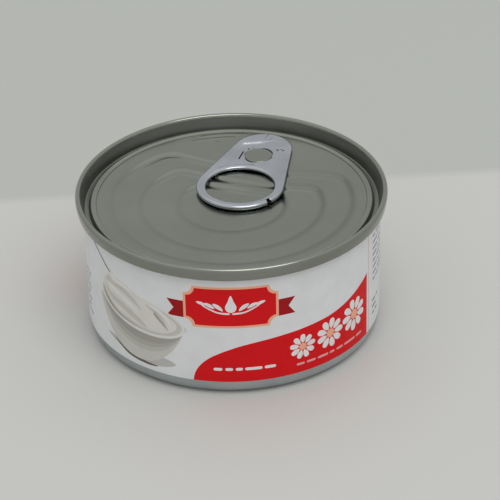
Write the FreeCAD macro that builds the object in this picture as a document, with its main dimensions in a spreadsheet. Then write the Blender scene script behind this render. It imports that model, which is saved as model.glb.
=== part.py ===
"""Small drawn steel can with a paper label and an easy-open end.

Millimetres, +Z up, origin on the table under the middle of the can. The four pieces are the
drawn body with its filling, the pressed lid whose rim is the double seam, the riveted ring
tab, and the wrapped paper label.
"""
import FreeCAD, Part
import math
import os
import re
import Sketcher
from FreeCAD import Placement, Rotation, Vector

SIZES = [
    # the can as a whole
    ("can_height", 36.5, "table to the top of the seam"),
    ("body_radius", 36.2, "outside of the drawn wall"),
    ("seam_overhang", 1.9, "how far the double seam stands out from the wall"),
    ("body_gauge", 0.25, "thickness of the drawn wall"),
    # underside of the body
    ("heel_radius", 2.2, "round between the wall and the foot"),
    ("foot_width", 1.1, "flat ring that the can stands on"),
    ("base_rise", 1.4, "height of the base panel above the table"),
    ("base_slope", 1.5, "run of the slope from the foot to the base panel"),
    ("bead_radius", 21.5, "outside of the round bead in the base"),
    ("bead_width", 5.0, "width of that bead across its slopes"),
    ("bead_rise", 0.7, "height of that bead above the base panel"),
    ("base_round", 0.5, "rounds at both ends of that slope"),
    # step under the seam and the double seam itself
    ("neck_drop", 0.94, "start of the step in the wall, below the seam"),
    ("neck_rise", 0.8, "height of that step"),
    ("neck_step", 0.8, "how far the wall steps out there"),
    ("seam_width", 1.3, "width of the seam at its top"),
    ("seam_depth", 3.06, "height of the seam"),
    ("seam_taper", 0.27, "how much the seam's lower edge stands in"),
    ("seam_tuck", 0.35, "rise of the seam's underside towards the wall"),
    ("seam_round", 0.6, "round of the seam's top edges"),
    ("seam_grip", 1.5, "end of the wall's flange inside the seam, below the seam's top"),
    # pressed lid, all depths from the top of the seam
    ("countersink_depth", 4.1, "bottom of the groove inside the seam"),
    ("countersink_inset", 0.45, "outside of that groove's floor, in from body_radius"),
    ("countersink_width", 1.05, "width of that groove's floor"),
    ("countersink_round", 0.3, "rounds at the bottom of that groove"),
    ("shoulder_depth", 2.9, "top of the ring round the panel"),
    ("shoulder_inset", 1.75, "outside of that ring, in from body_radius"),
    ("shoulder_width", 0.55, "width of that ring"),
    ("shoulder_round", 0.25, "round on that ring's outer edge"),
    ("land_depth", 3.1, "level that carries the score and the tab"),
    ("score_inset", 3.0, "middle of the score that tears, in from body_radius"),
    ("score_width", 0.3, "width of the score"),
    ("score_depth", 0.1, "depth of the score"),
    ("filling_depth", 5.1, "level where lid and filling meet"),
    # the three steps pressed into the panel, each a disc whose back bows in between two lobes
    ("outer_step_inset", 5.8, "round side of the first step, in from body_radius"),
    ("outer_step_back", 3.9, "middle of its back, in front of the rivet"),
    ("outer_step_lobe", 7.0, "radius of its two lobes"),
    ("middle_step_inset", 12.9, "round side of the second step"),
    ("middle_step_back", 10.5, "middle of its back"),
    ("middle_step_lobe", 5.0, "radius of its two lobes"),
    ("inner_step_inset", 21.4, "round side of the third step"),
    ("inner_step_back", 14.0, "middle of its back"),
    ("inner_step_lobe", 3.5, "radius of its two lobes"),
    ("step_bow", 80.0, "radius of the bow in all three backs"),
    ("step_turn", 18.0, "turn of the steps, clockwise from above, degrees"),
    ("step_drop", 0.42, "depth of each step"),
    ("step_draft", 50.0, "lean of the steps' walls from upright, degrees"),
    ("step_round", 0.3, "rounds on the steps' edges"),
    # ring tab, measured from the rivet's middle, with the nose towards +Y
    ("tab_turn", 20.2, "turn of the tab and its rivet, clockwise from above, degrees"),
    ("tab_height", 1.2, "thickness over the curled edges"),
    ("tab_curl", 0.5, "round of the curled edges"),
    ("ring_reach", 15.2, "middle of the ring, in front of the rivet"),
    ("ring_radius", 10.7, "outside of the ring"),
    ("finger_radius", 8.5, "finger hole"),
    ("nose_reach", 3.9, "middle of the round nose, behind the rivet"),
    ("nose_radius", 7.4, "outside of the nose"),
    ("web_gauge", 0.45, "thickness of the single sheet between ring and nose"),
    ("web_boss", 0.4, "solid seat under the web, out from the free ring round the rivet's head"),
    ("web_front", 0.3, "front end of the hollow under the web, in front of that seat"),
    ("web_back", 7.8, "back end of that hollow, behind the rivet"),
    ("web_front_width", 14.2, "width of that hollow at its front end"),
    ("web_back_width", 9.0, "width of that hollow at its back end"),
    ("crease_width", 2.0, "dent in the end of the nose, where it is widest"),
    ("crease_length", 2.6, "length of that dent"),
    ("crease_depth", 0.3, "depth of that dent"),
    ("nick_angle", -31.0, "place of the nick in the ring's curl, from +X, degrees"),
    ("nick_width", 1.6, "width of that nick"),
    ("nick_depth", 1.1, "how far that nick reaches into the ring"),
    # rivet that holds the tab, pressed up out of the panel
    ("rivet_inset", 15.8, "middle of the rivet, in from body_radius"),
    ("rivet_radius", 1.9, "shank of the rivet"),
    ("rivet_head_radius", 3.45, "head of the rivet"),
    ("rivet_head_height", 0.4, "thickness of the head"),
    ("rivet_sink", 0.15, "top of the head below the top of the tab"),
    ("rivet_gap", 0.25, "free ring between the head and the web"),
    ("rivet_play", 0.05, "free ring between the shank and the tab"),
    ("slit_reach", 0.9, "middle of the slits, out from the free ring round the head"),
    ("slit_width", 0.4, "width of the slits"),
    ("slit_angle", 52.0, "sweep of each slit, degrees"),
    ("slit_lean", 9.0, "turn of the slits towards the ring, degrees"),
    ("slit_trace", 0.15, "depth of the right slit, which is pressed shut"),
    # paper label
    ("label_gauge", 0.15, "thickness of the paper"),
    ("label_low", 4.0, "lower edge above the table"),
    ("label_gap", 0.05, "bare wall between the label and the step under the seam"),
    ("lap_angle", 14.0, "glued overlap behind, degrees"),
]

doc = FreeCAD.newDocument("cream_can")
sheet = doc.addObject("Spreadsheet::Sheet", "Sizes")
for row, (alias, size, meaning) in enumerate(SIZES, start=1):
    sheet.set("A%d" % row, alias)
    sheet.set("B%d" % row, str(size))
    sheet.set("C%d" % row, meaning)
    sheet.setAlias("B%d" % row, alias)
doc.recompute()


# ---- formulas and sketches -------------------------------------------------------------

def bound(formula):
    """A formula in the sheet's names, as an expression of any other object."""
    return re.sub(r"\b[a-z]+(?:_[a-z]+)+\b", lambda name: "Sizes." + name.group(), formula)


def number(formula):
    """The present value of a formula in the sheet's names."""
    return float(sheet.evalExpression(formula))


def new_body(label):
    body = doc.addObject("PartDesign::Body", label)
    body.Label = label
    return body


def new_sketch(body, name, role, height="0", turn=None):
    """A sketch on one of the body's origin planes, raised and turned clockwise if asked."""
    plane = next(item for item in body.Origin.OriginFeatures if item.Role == role)
    sketch = body.newObject("Sketcher::SketchObject", name)
    sketch.AttachmentSupport = [(plane, "")]
    sketch.MapMode = "FlatFace"
    clockwise = Rotation(Vector(0, 0, -1), number(turn) if turn else 0)
    sketch.AttachmentOffset = Placement(Vector(0, 0, number(height)), clockwise)
    if height != "0":
        sketch.setExpression("AttachmentOffset.Base.z", bound(height))
    if turn:
        sketch.setExpression("AttachmentOffset.Rotation.Angle", bound(turn))
    return sketch


def drive(sketch, kind, where, formula):
    """A dimension of the sketch that follows a formula."""
    index = sketch.addConstraint(Sketcher.Constraint(kind, *where, number(formula)))
    sketch.setExpression("Constraints[%d]" % index, bound(formula))


def place(sketch, geometry, end, across, up):
    """Holds one end, or the centre, of a piece of geometry at two formulas."""
    for kind, axis, formula in (("DistanceX", -2, across), ("DistanceY", -1, up)):
        if formula == "0":
            sketch.addConstraint(Sketcher.Constraint("PointOnObject", geometry, end, axis))
        else:
            drive(sketch, kind, (-1, 1, geometry, end), formula)


def draw_outline(sketch, corners):
    """Closed outline of straight lines through corners given as pairs of formulas."""
    points = [Vector(number(across), number(up), 0) for across, up in corners]
    lines = [Part.LineSegment(start, end) for start, end in zip(points, points[1:] + points[:1])]
    first = sketch.GeometryCount
    sketch.addGeometry(lines, False)
    for i, (across, up) in enumerate(corners):
        before = first + (i - 1) % len(corners)
        sketch.addConstraint(Sketcher.Constraint("Coincident", before, 2, first + i, 1))
        place(sketch, first + i, 1, across, up)


def draw_circle(sketch, across, up, radius):
    middle = Vector(number(across), number(up), 0)
    circle = sketch.addGeometry(Part.Circle(middle, Vector(0, 0, 1), number(radius)), False)
    drive(sketch, "Radius", (circle,), radius)
    place(sketch, circle, 3, across, up)


def arc(centre_x, centre_y, radius, start, end):
    """Arc drawn anticlockwise from one angle to another, in degrees."""
    circle = Part.Circle(Vector(centre_x, centre_y, 0), Vector(0, 0, 1), radius)
    return Part.ArcOfCircle(circle, math.radians(start), math.radians(end))


def draw_step(sketch, radius, back, lobe):
    """A disc about the middle whose back bows in between two rounded lobes."""
    big, small, bow = number(radius), number(lobe), number("step_bow")
    bow_y = number(back) + bow
    lobe_y = ((big - small) ** 2 - (bow + small) ** 2 + bow_y ** 2) / (2 * bow_y)
    lobe_x = math.sqrt((big - small) ** 2 - lobe_y ** 2)
    turn = math.degrees(math.atan2(lobe_y, lobe_x))
    spread = math.degrees(math.atan2(lobe_x, bow_y - lobe_y))
    sketch.addGeometry([
        arc(0, 0, big, 180 - turn, 360 + turn),
        arc(lobe_x, lobe_y, small, turn, 90 + spread),
        arc(0, bow_y, bow, 270 - spread, 270 + spread),
        arc(-lobe_x, lobe_y, small, 90 - spread, 180 - turn),
    ], False)
    sketch.addConstraint(Sketcher.Constraint("Coincident", 0, 3, -1, 1))
    for one, end, other, start in ((0, 2, 1, 1), (1, 2, 2, 2), (2, 1, 3, 1), (3, 2, 0, 1)):
        sketch.addConstraint(Sketcher.Constraint("Tangent", one, end, other, start))
    sketch.addConstraint(Sketcher.Constraint("Equal", 1, 3))
    drive(sketch, "Radius", (0,), radius)
    drive(sketch, "Radius", (1,), lobe)
    drive(sketch, "Radius", (2,), "step_bow")
    place(sketch, 2, 3, "0", back + " + step_bow")


def draw_belt(sketch):
    """The tab's outline: the ring at the front, the round nose behind, straight sides between."""
    front, big = -number("ring_reach"), number("ring_radius")
    rear, small = number("nose_reach"), number("nose_radius")
    turn = math.degrees(math.asin((big - small) / (rear - front)))
    lean = Vector(math.cos(math.radians(turn)), math.sin(math.radians(turn)), 0)
    mirrored = Vector(-lean.x, lean.y, 0)
    ring, nose = Vector(0, front, 0), Vector(0, rear, 0)
    sketch.addGeometry([
        arc(0, front, big, 180 - turn, 360 + turn),
        Part.LineSegment(ring + lean * big, nose + lean * small),
        arc(0, rear, small, turn, 180 - turn),
        Part.LineSegment(nose + mirrored * small, ring + mirrored * big),
    ], False)
    for one, other in ((0, 1), (1, 2), (2, 3), (3, 0)):
        sketch.addConstraint(Sketcher.Constraint("Tangent", one, 2, other, 1))
    for end, centre, radius in ((0, "-ring_reach", "ring_radius"), (2, "nose_reach", "nose_radius")):
        place(sketch, end, 3, "0", centre)
        drive(sketch, "Radius", (end,), radius)


def draw_slit(sketch, side, middle):
    """A bent slot round the rivet at a radius, on the right for side 1, on the left for -1."""
    sweep, lean = number("slit_angle") / 2, number("slit_lean")
    facing = -lean if side > 0 else 180 + lean
    radii = (middle + " - slit_width / 2", middle + " + slit_width / 2")
    inner, outer = [arc(0, 0, number(radius), facing - sweep, facing + sweep) for radius in radii]
    sketch.addGeometry([
        inner,
        outer,
        Part.LineSegment(inner.StartPoint, outer.StartPoint),
        Part.LineSegment(outer.EndPoint, inner.EndPoint),
    ], False)
    for line, end, curve, curve_end in ((2, 1, 0, 1), (2, 2, 1, 1), (3, 1, 1, 2), (3, 2, 0, 2)):
        sketch.addConstraint(Sketcher.Constraint("Coincident", line, end, curve, curve_end))
    lower, upper = (1, 2) if side > 0 else (2, 1)
    for curve, radius in enumerate(radii):
        place(sketch, curve, 3, "0", "0")
        drive(sketch, "Radius", (curve,), radius)
        low = "-(%s) * sin(slit_angle / 2 + slit_lean)" % radius
        high = "(%s) * sin(slit_angle / 2 - slit_lean)" % radius
        drive(sketch, "DistanceY", (-1, 1, curve, lower), low)
        drive(sketch, "DistanceY", (-1, 1, curve, upper), high)


# ---- features --------------------------------------------------------------------------

def revolve(body, name, sketch, angle=None):
    """Turns a sketch about its upright axis, all the way or midway over an angle."""
    feature = body.newObject("PartDesign::Revolution", name)
    feature.Profile = sketch
    feature.ReferenceAxis = (sketch, ["V_Axis"])
    feature.Angle = 360
    if angle:
        feature.Midplane = True
        feature.setExpression("Angle", bound(angle))
    doc.recompute()
    return feature


def extrude(body, kind, name, sketch, length, draft=None, upward=False):
    """A pad or pocket; a pocket that goes upward cuts from below."""
    feature = body.newObject("PartDesign::" + kind, name)
    feature.Profile = sketch
    feature.setExpression("Length", bound(length))
    if draft:
        feature.setExpression("TaperAngle", bound(draft))
    feature.Reversed = upward
    volume = body.Shape.Volume if body.Shape.Solids else 0
    doc.recompute()
    grown = body.Shape.Volume - volume
    if (grown <= 0) == (kind == "Pad"):
        raise RuntimeError("%s changed nothing or worked the wrong way" % name)
    return feature


def round_edges(body, name, wanted, radius):
    """Rounds every edge of the body so far that the test picks."""
    names = ["Edge%d" % (i + 1) for i, edge in enumerate(body.Shape.Edges) if wanted(edge)]
    if not names:
        raise RuntimeError("%s found no edge" % name)
    before = body.Tip
    feature = body.newObject("PartDesign::Fillet", name)
    feature.Base = (before, names)
    feature.setExpression("Radius", bound(radius))
    doc.recompute()


def ring_at(*places):
    """Test for round edges about the can's axis at radius and height pairs."""
    pairs = [(number(radius), number(height)) for radius, height in places]

    def test(edge):
        curve = edge.Curve
        if not isinstance(curve, Part.Circle) or curve.Center.cross(Vector(0, 0, 1)).Length > 0.01:
            return False
        return any(abs(curve.Radius - r) < 0.01 and abs(curve.Center.z - z) < 0.01 for r, z in pairs)
    return test


def level_at(height, reach="body_radius"):
    """Test for edges that lie flat at a height and within a reach of the axis."""
    z, limit = number(height), number(reach)

    def test(edge):
        box = edge.BoundBox
        flat = abs(box.ZMin - z) < 0.01 and abs(box.ZMax - z) < 0.01
        return flat and max(point.Point.cross(Vector(0, 0, 1)).Length for point in edge.Vertexes) < limit
    return test


# ---- drawn body with its filling -------------------------------------------------------
# One piece of steel with no seam at the bottom, whose wall steps out under the double seam so
# that cans stack. The can is shut, so wall and filling are one solid up to the lid.

can_body = new_body("can_body")
section = new_sketch(can_body, "wall_section", "XZ_Plane")
foot_outer = "body_radius - heel_radius"
foot_inner = foot_outer + " - foot_width"
panel_edge = foot_inner + " - base_slope"
bead_inner = "bead_radius - bead_width"
neck_low = "can_height - seam_depth - neck_drop"
neck_high = neck_low + " + neck_rise"
neck_outer = "body_radius + neck_step"
flange_end = "can_height - seam_grip"
draw_outline(section, [
    ("0", "base_rise"),
    (bead_inner, "base_rise"),
    (bead_inner + " + bead_rise", "base_rise + bead_rise"),
    ("bead_radius - bead_rise", "base_rise + bead_rise"),
    ("bead_radius", "base_rise"),
    (panel_edge, "base_rise"),
    (foot_inner, "0"),
    ("body_radius", "0"),
    ("body_radius", neck_low),
    (neck_outer, neck_high),
    (neck_outer, flange_end),
    (neck_outer + " - body_gauge", flange_end),
    (neck_outer + " - body_gauge", neck_high),
    ("body_radius - body_gauge", neck_low),
    ("body_radius - body_gauge", "can_height - filling_depth"),
    ("0", "can_height - filling_depth"),
])
revolve(can_body, "wall", section)
round_edges(can_body, "heel", ring_at(("body_radius", "0")), "heel_radius")
round_edges(can_body, "base_rounds", ring_at((panel_edge, "base_rise"), (foot_inner, "0")), "base_round")

# ---- lid -------------------------------------------------------------------------------
# Steel end with the double seam round it. From the rim inward come the chuck wall, the
# countersink, the ring round the panel, the score and the land that carries the tab.

lid = new_body("lid")
section = new_sketch(lid, "end_section", "XZ_Plane")
seam_outer = "body_radius + seam_overhang"
seam_low = "can_height - seam_depth"
land = "can_height - land_depth"
shoulder = "can_height - shoulder_depth"
groove_floor = "can_height - countersink_depth"
groove_outer = "body_radius - countersink_inset"
groove_inner = groove_outer + " - countersink_width"
shoulder_outer = "body_radius - shoulder_inset"
shoulder_inner = shoulder_outer + " - shoulder_width"
score = "body_radius - score_inset"
draw_outline(section, [
    ("0", "can_height - filling_depth"),
    ("body_radius - body_gauge", "can_height - filling_depth"),
    ("body_radius - body_gauge", neck_low),
    (neck_outer + " - body_gauge", neck_high),
    (neck_outer + " - body_gauge", flange_end),
    (neck_outer, flange_end),
    (neck_outer, seam_low + " + seam_tuck"),
    (seam_outer + " - seam_taper", seam_low),
    (seam_outer, seam_low + " + seam_depth / 2"),
    (seam_outer, "can_height"),
    (seam_outer + " - seam_width", "can_height"),
    (groove_outer, groove_floor),
    (groove_inner, groove_floor),
    (shoulder_outer, shoulder),
    (shoulder_inner, shoulder),
    (shoulder_inner + " - score_width", land),
    (score + " + score_width / 2", land),
    (score, land + " - score_depth"),
    (score + " - score_width / 2", land),
    ("0", land),
])
revolve(lid, "end", section)
round_edges(lid, "seam_rounds", ring_at(
    (seam_outer, "can_height"), (seam_outer + " - seam_width", "can_height")), "seam_round")
round_edges(lid, "groove_rounds", ring_at(
    (groove_outer, groove_floor), (groove_inner, groove_floor)), "countersink_round")
round_edges(lid, "shoulder_rounds", ring_at((shoulder_outer, shoulder)), "shoulder_round")

# Three steps go down towards the middle, round in front and bowed in behind between two
# lobes, and make room for a finger under the ring.
rivet_place = "body_radius - rivet_inset"
for count, step in enumerate(("outer_step", "middle_step", "inner_step")):
    floor = land + " - %d * step_drop" % count
    outline = new_sketch(lid, step + "_outline", "XY_Plane", floor, turn="step_turn")
    draw_step(outline, "body_radius - %s_inset" % step, rivet_place + " - %s_back" % step, step + "_lobe")
    extrude(lid, "Pocket", step, outline, "step_drop", draft="-step_draft")
for count in range(4):
    level = land + " - %d * step_drop" % count
    round_edges(lid, "step_rounds_%d" % count, level_at(level, score + " - score_width"), "step_round")

# The rivet is drawn up out of the panel through the tab and flattened over it.
head_top = land + " + tab_height - rivet_sink"
shank = new_sketch(lid, "rivet_shank_outline", "XY_Plane", land, turn="tab_turn")
draw_circle(shank, "0", rivet_place, "rivet_radius")
extrude(lid, "Pad", "rivet_shank", shank, "tab_height - rivet_sink")
head_low = head_top + " - rivet_head_height"
head = new_sketch(lid, "rivet_head_outline", "XY_Plane", head_low, turn="tab_turn")
draw_circle(head, "0", rivet_place, "rivet_head_radius")
extrude(lid, "Pad", "rivet_head", head, "rivet_head_height")
head_reach = rivet_place + " + rivet_head_radius + 0.5"
round_edges(lid, "rivet_round", level_at(head_top, head_reach), "rivet_head_height / 2")

# ---- ring tab --------------------------------------------------------------------------
# Pressed from one strip of steel whose edges are curled under, so that it is thick round the
# ring and the sides and a single sheet in the web between them. It lies on the land, in a
# frame of its own: the origin is the rivet's middle on the tab's underside, Y is to the nose.

ring_tab = new_body("ring_tab")
outline = new_sketch(ring_tab, "tab_outline", "XY_Plane")
draw_belt(outline)
extrude(ring_tab, "Pad", "strip", outline, "tab_height")
finger = new_sketch(ring_tab, "finger_hole_outline", "XY_Plane", "tab_height")
draw_circle(finger, "0", "-ring_reach", "finger_radius")
extrude(ring_tab, "Pocket", "finger_hole", finger, "tab_height")
round_edges(ring_tab, "curl_below", level_at("0"), "tab_curl")
round_edges(ring_tab, "curl_above", level_at("tab_height"), "tab_curl")

head_ring = "rivet_head_radius + rivet_gap"
web_seat = head_ring + " + web_boss"
hollow = new_sketch(ring_tab, "web_hollow_outline", "XY_Plane")
draw_outline(hollow, [
    ("-web_front_width / 2", "-(%s + web_front)" % web_seat),
    ("web_front_width / 2", "-(%s + web_front)" % web_seat),
    ("web_back_width / 2", "web_back"),
    ("-web_back_width / 2", "web_back"),
])
draw_circle(hollow, "0", "0", web_seat)
extrude(ring_tab, "Pocket", "web_hollow", hollow, "tab_height - web_gauge", upward=True)

seat = new_sketch(ring_tab, "rivet_seat_outline", "XY_Plane", "tab_height")
draw_circle(seat, "0", "0", head_ring)
extrude(ring_tab, "Pocket", "rivet_seat", seat, "rivet_sink + rivet_head_height")
hole = new_sketch(ring_tab, "rivet_hole_outline", "XY_Plane", "tab_height")
draw_circle(hole, "0", "0", "rivet_radius + rivet_play")
extrude(ring_tab, "Pocket", "rivet_hole", hole, "tab_height")
for side, name, depth in ((-1, "open_slit", "tab_height"), (1, "shut_slit", "slit_trace")):
    slit = new_sketch(ring_tab, name + "_outline", "XY_Plane", "tab_height")
    draw_slit(slit, side, head_ring + " + slit_reach")
    extrude(ring_tab, "Pocket", name, slit, depth)

nose_tip = "nose_reach + nose_radius"
crease = new_sketch(ring_tab, "nose_crease_outline", "XY_Plane", "tab_height")
draw_outline(crease, [
    ("0", nose_tip + " - crease_length"),
    ("crease_width / 2", nose_tip),
    ("-crease_width / 2", nose_tip),
])
extrude(ring_tab, "Pocket", "nose_crease", crease, "crease_depth")


def from_ring(outward, sideways):
    """A point given outward and sideways from the ring's middle, along the nick's angle."""
    across = "(%s) * cos(nick_angle) - (%s) * sin(nick_angle)" % (outward, sideways)
    ahead = "-ring_reach + (%s) * sin(nick_angle) + (%s) * cos(nick_angle)" % (outward, sideways)
    return across, ahead


nick = new_sketch(ring_tab, "curl_nick_outline", "XY_Plane", "tab_height")
draw_outline(nick, [
    from_ring("ring_radius - nick_depth", "-nick_width / 2"),
    from_ring("ring_radius + nick_depth", "-nick_width / 2"),
    from_ring("ring_radius + nick_depth", "nick_width / 2"),
    from_ring("ring_radius - nick_depth", "nick_width / 2"),
])
extrude(ring_tab, "Pocket", "curl_nick", nick, "tab_height")
ring_tab.Placement = Placement(Vector(), Rotation(Vector(0, 0, -1), number("tab_turn")))
ring_tab.setExpression("Placement.Rotation.Angle", bound("tab_turn"))
ring_tab.setExpression("Placement.Base.x", bound("(%s) * sin(tab_turn)" % rivet_place))
ring_tab.setExpression("Placement.Base.y", bound("(%s) * cos(tab_turn)" % rivet_place))
ring_tab.setExpression("Placement.Base.z", bound(land))

# ---- paper label -----------------------------------------------------------------------
# One strip wrapped round the wall, from a little above the heel to the step under the seam.
# Its end is glued over its start behind, where the paper lies double.

label = new_body("label")
label_high = neck_low + " - label_gap"
sleeve = new_sketch(label, "sleeve_section", "XZ_Plane")
draw_outline(sleeve, [
    ("body_radius", "label_low"),
    ("body_radius + label_gauge", "label_low"),
    ("body_radius + label_gauge", label_high),
    ("body_radius", label_high),
])
revolve(label, "sleeve", sleeve)
lap = new_sketch(label, "lap_section", "YZ_Plane")
draw_outline(lap, [
    ("body_radius + label_gauge", "label_low"),
    ("body_radius + 2 * label_gauge", "label_low"),
    ("body_radius + 2 * label_gauge", label_high),
    ("body_radius + label_gauge", label_high),
])
revolve(label, "lap", lap, angle="lap_angle")

# ---- checks and files ------------------------------------------------------------------

doc.recompute()
for item in doc.Objects:
    if "Invalid" in item.State or "Error" in item.State:
        raise RuntimeError("%s did not rebuild" % item.Label)
os.makedirs("parts", exist_ok=True)
for piece in (can_body, lid, ring_tab, label):
    shape = piece.Shape
    if shape.isNull() or not shape.isValid() or len(shape.Solids) != 1:
        raise RuntimeError("%s is not one valid solid" % piece.Label)
    shape.exportStep("parts/%s.step" % piece.Label)
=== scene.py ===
import math
import random

import bpy
from mathutils import Matrix, Vector
from mathutils.geometry import delaunay_2d_cdt


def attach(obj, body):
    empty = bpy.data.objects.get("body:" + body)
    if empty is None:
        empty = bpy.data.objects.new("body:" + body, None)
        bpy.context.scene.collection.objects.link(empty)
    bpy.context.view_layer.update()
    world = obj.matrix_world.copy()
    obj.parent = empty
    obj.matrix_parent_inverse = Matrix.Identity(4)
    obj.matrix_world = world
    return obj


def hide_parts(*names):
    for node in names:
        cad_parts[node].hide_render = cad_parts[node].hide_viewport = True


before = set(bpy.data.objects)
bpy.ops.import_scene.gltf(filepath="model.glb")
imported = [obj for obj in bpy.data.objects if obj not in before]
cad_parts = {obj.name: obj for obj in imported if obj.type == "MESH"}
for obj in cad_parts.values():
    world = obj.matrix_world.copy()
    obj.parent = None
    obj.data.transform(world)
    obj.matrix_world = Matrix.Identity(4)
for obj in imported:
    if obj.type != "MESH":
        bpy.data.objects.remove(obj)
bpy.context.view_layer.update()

# ---- drawn body ----
# The can's body is one cup drawn from tin-plated steel, filled with cream and closed by the
# lid. Only its foot and a narrow band under the label stay bare. Sizes are in millimetres.
MM = 0.001
BODY_AROUND = 300
# Profiles are pairs of distance out and height. This one starts under the seam, goes down the
# stepped wall, round the heel to the foot, and in over the base to its middle.
WALL = [(36.98, 34.0), (36.98, 33.4), (36.95, 33.25), (36.86, 33.1), (36.62, 32.88),
        (36.38, 32.67), (36.27, 32.55), (36.21, 32.4), (36.2, 32.0), (36.2, 25.0), (36.2, 15.0),
        (36.2, 5.0), (36.2, 3.6)]
HEEL_OUT, HEEL_WIDE, HEEL_TALL = 33.2, 3.0, 3.4
HEEL = [(HEEL_OUT + HEEL_WIDE * math.cos(math.radians(t)),
         HEEL_TALL - HEEL_TALL * math.sin(math.radians(t))) for t in range(8, 91, 8)]
BASE = [(33.2, 0.0), (32.75, 0.0), (32.58, 0.04), (32.42, 0.16), (31.45, 1.24), (31.28, 1.37),
        (31.0, 1.4), (26.0, 1.4), (21.8, 1.4), (21.5, 1.45), (21.2, 1.6), (20.7, 1.88),
        (20.1, 2.04), (19.0, 2.1), (17.9, 2.04), (17.3, 1.88), (16.8, 1.6), (16.5, 1.45),
        (16.2, 1.4), (8.0, 1.4), (0.01, 1.4)]


def directions_round(count):
    """Evenly spaced directions round an upright axis, as pairs of cosine and sine."""
    turns = [math.tau * i / count for i in range(count)]
    return [(math.cos(turn), math.sin(turn)) for turn in turns]


def spun(profile, directions, middle=(0, 0)):
    """A row of points round an upright axis for each pair of a profile."""
    return [[(middle[0] + r * c, middle[1] + r * s, z) for c, s in directions] for r, z in profile]


def placed(mesh):
    """A new piece of the scene that shows a mesh, smooth all over."""
    for face in mesh.polygons:
        face.use_smooth = True
    piece = bpy.data.objects.new(mesh.name, mesh)
    bpy.context.collection.objects.link(piece)
    return piece


def ring_mesh(name, rows):
    """A piece whose mesh is closed rows of points, each joined to the next."""
    around = len(rows[0])
    points = [tuple(value * MM for value in point) for row in rows for point in row]
    faces = []
    for i in range(len(rows) - 1):
        for j in range(around):
            k = (j + 1) % around
            faces.append((i * around + j, i * around + k,
                          (i + 1) * around + k, (i + 1) * around + j))
    mesh = bpy.data.meshes.new(name)
    mesh.from_pydata(points, [], faces)
    return placed(mesh)


def new_finish(name):
    """A material of nodes, with what the caller needs to work them."""
    finish = bpy.data.materials.new(name)
    finish.use_nodes = True
    tree = finish.node_tree
    return finish, tree.nodes, tree.links, tree.nodes["Principled BSDF"]


def new_metal(name, colour, roughness):
    """A plain metal whose nodes the caller goes on to work."""
    metal, nodes, links, shader = new_finish(name)
    shader.inputs["Base Color"].default_value = (*colour, 1)
    shader.inputs["Metallic"].default_value = 1.0
    shader.inputs["Roughness"].default_value = roughness
    return metal, nodes, links, shader


def printed(red, green, blue):
    """A colour given as it reads on a screen, 0 to 255, as Blender's linear numbers."""
    linear = []
    for part in (red, green, blue):
        part /= 255
        linear.append(part / 12.92 if part <= 0.04045 else ((part + 0.055) / 1.055) ** 2.4)
    return tuple(linear)


def grain(nodes, links, scale, detail=3.0, stretch=(1, 1, 1)):
    """Noise in the piece's own space, in grains per metre, stretched along an axis if asked."""
    place = nodes.new("ShaderNodeTexCoord")
    sizing = nodes.new("ShaderNodeMapping")
    sizing.inputs["Scale"].default_value = stretch
    cloud = nodes.new("ShaderNodeTexNoise")
    cloud.inputs["Scale"].default_value = scale
    cloud.inputs["Detail"].default_value = detail
    links.new(place.outputs["Object"], sizing.inputs["Vector"])
    links.new(sizing.outputs["Vector"], cloud.inputs["Vector"])
    return cloud.outputs["Fac"]


# Nearly all of a noise lies between these two values.
NOISE_LOW, NOISE_HIGH = 0.3, 0.7


def vary_colour(nodes, links, shader, factor, low, high):
    """The shader's colour runs between two colours with a noise."""
    ramp = nodes.new("ShaderNodeValToRGB")
    first, last = ramp.color_ramp.elements
    first.position, first.color = NOISE_LOW, (*low, 1)
    last.position, last.color = NOISE_HIGH, (*high, 1)
    links.new(factor, ramp.inputs["Fac"])
    links.new(ramp.outputs["Color"], shader.inputs["Base Color"])


def vary_roughness(nodes, links, shader, factor, low, high):
    """The shader's roughness runs between two values with a noise."""
    spread = nodes.new("ShaderNodeMapRange")
    spread.inputs["From Min"].default_value = NOISE_LOW
    spread.inputs["From Max"].default_value = NOISE_HIGH
    spread.inputs["To Min"].default_value = low
    spread.inputs["To Max"].default_value = high
    links.new(factor, spread.inputs["Value"])
    links.new(spread.outputs["Result"], shader.inputs["Roughness"])


def raise_surface(nodes, links, shader, factor, height):
    """Fine relief from a noise; height in metres."""
    relief = nodes.new("ShaderNodeBump")
    relief.inputs["Strength"].default_value = 1.0
    relief.inputs["Distance"].default_value = height
    links.new(factor, relief.inputs["Height"])
    links.new(relief.outputs["Normal"], shader.inputs["Normal"])


bare_steel, nodes, links, shader = new_metal("bare_drawn_steel", printed(168, 175, 178), 0.38)
draw_lines = grain(nodes, links, 160, 4.0, stretch=(1, 1, 30))
vary_colour(nodes, links, shader, grain(nodes, links, 90),
            printed(170, 176, 178), printed(186, 192, 194))
vary_roughness(nodes, links, shader, draw_lines, 0.32, 0.46)
raise_surface(nodes, links, shader, draw_lines, 0.00002)

# The rows run from the base's middle outwards, so that every face looks out.
profile = list(reversed(WALL + HEEL + BASE))
body = ring_mesh("body_drawn", spun(profile, directions_round(BODY_AROUND)))
body.data.materials.append(bare_steel)
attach(body, "root")
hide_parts("can_body")

# ---- lid ----
# A steel end, lacquered a greyish olive and seamed on round the body's flange. Its middle is
# pressed down in three steps, round in front and bowed in behind between two lobes, and shade
# is painted into the lacquer's colour along them, darkest in front and at the right.
LID_AROUND, PANEL_ROWS = 400, 132
# The land is the flat edge of the panel, just inside the score.
LAND, LAND_EDGE = 33.4, 33.05
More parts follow.
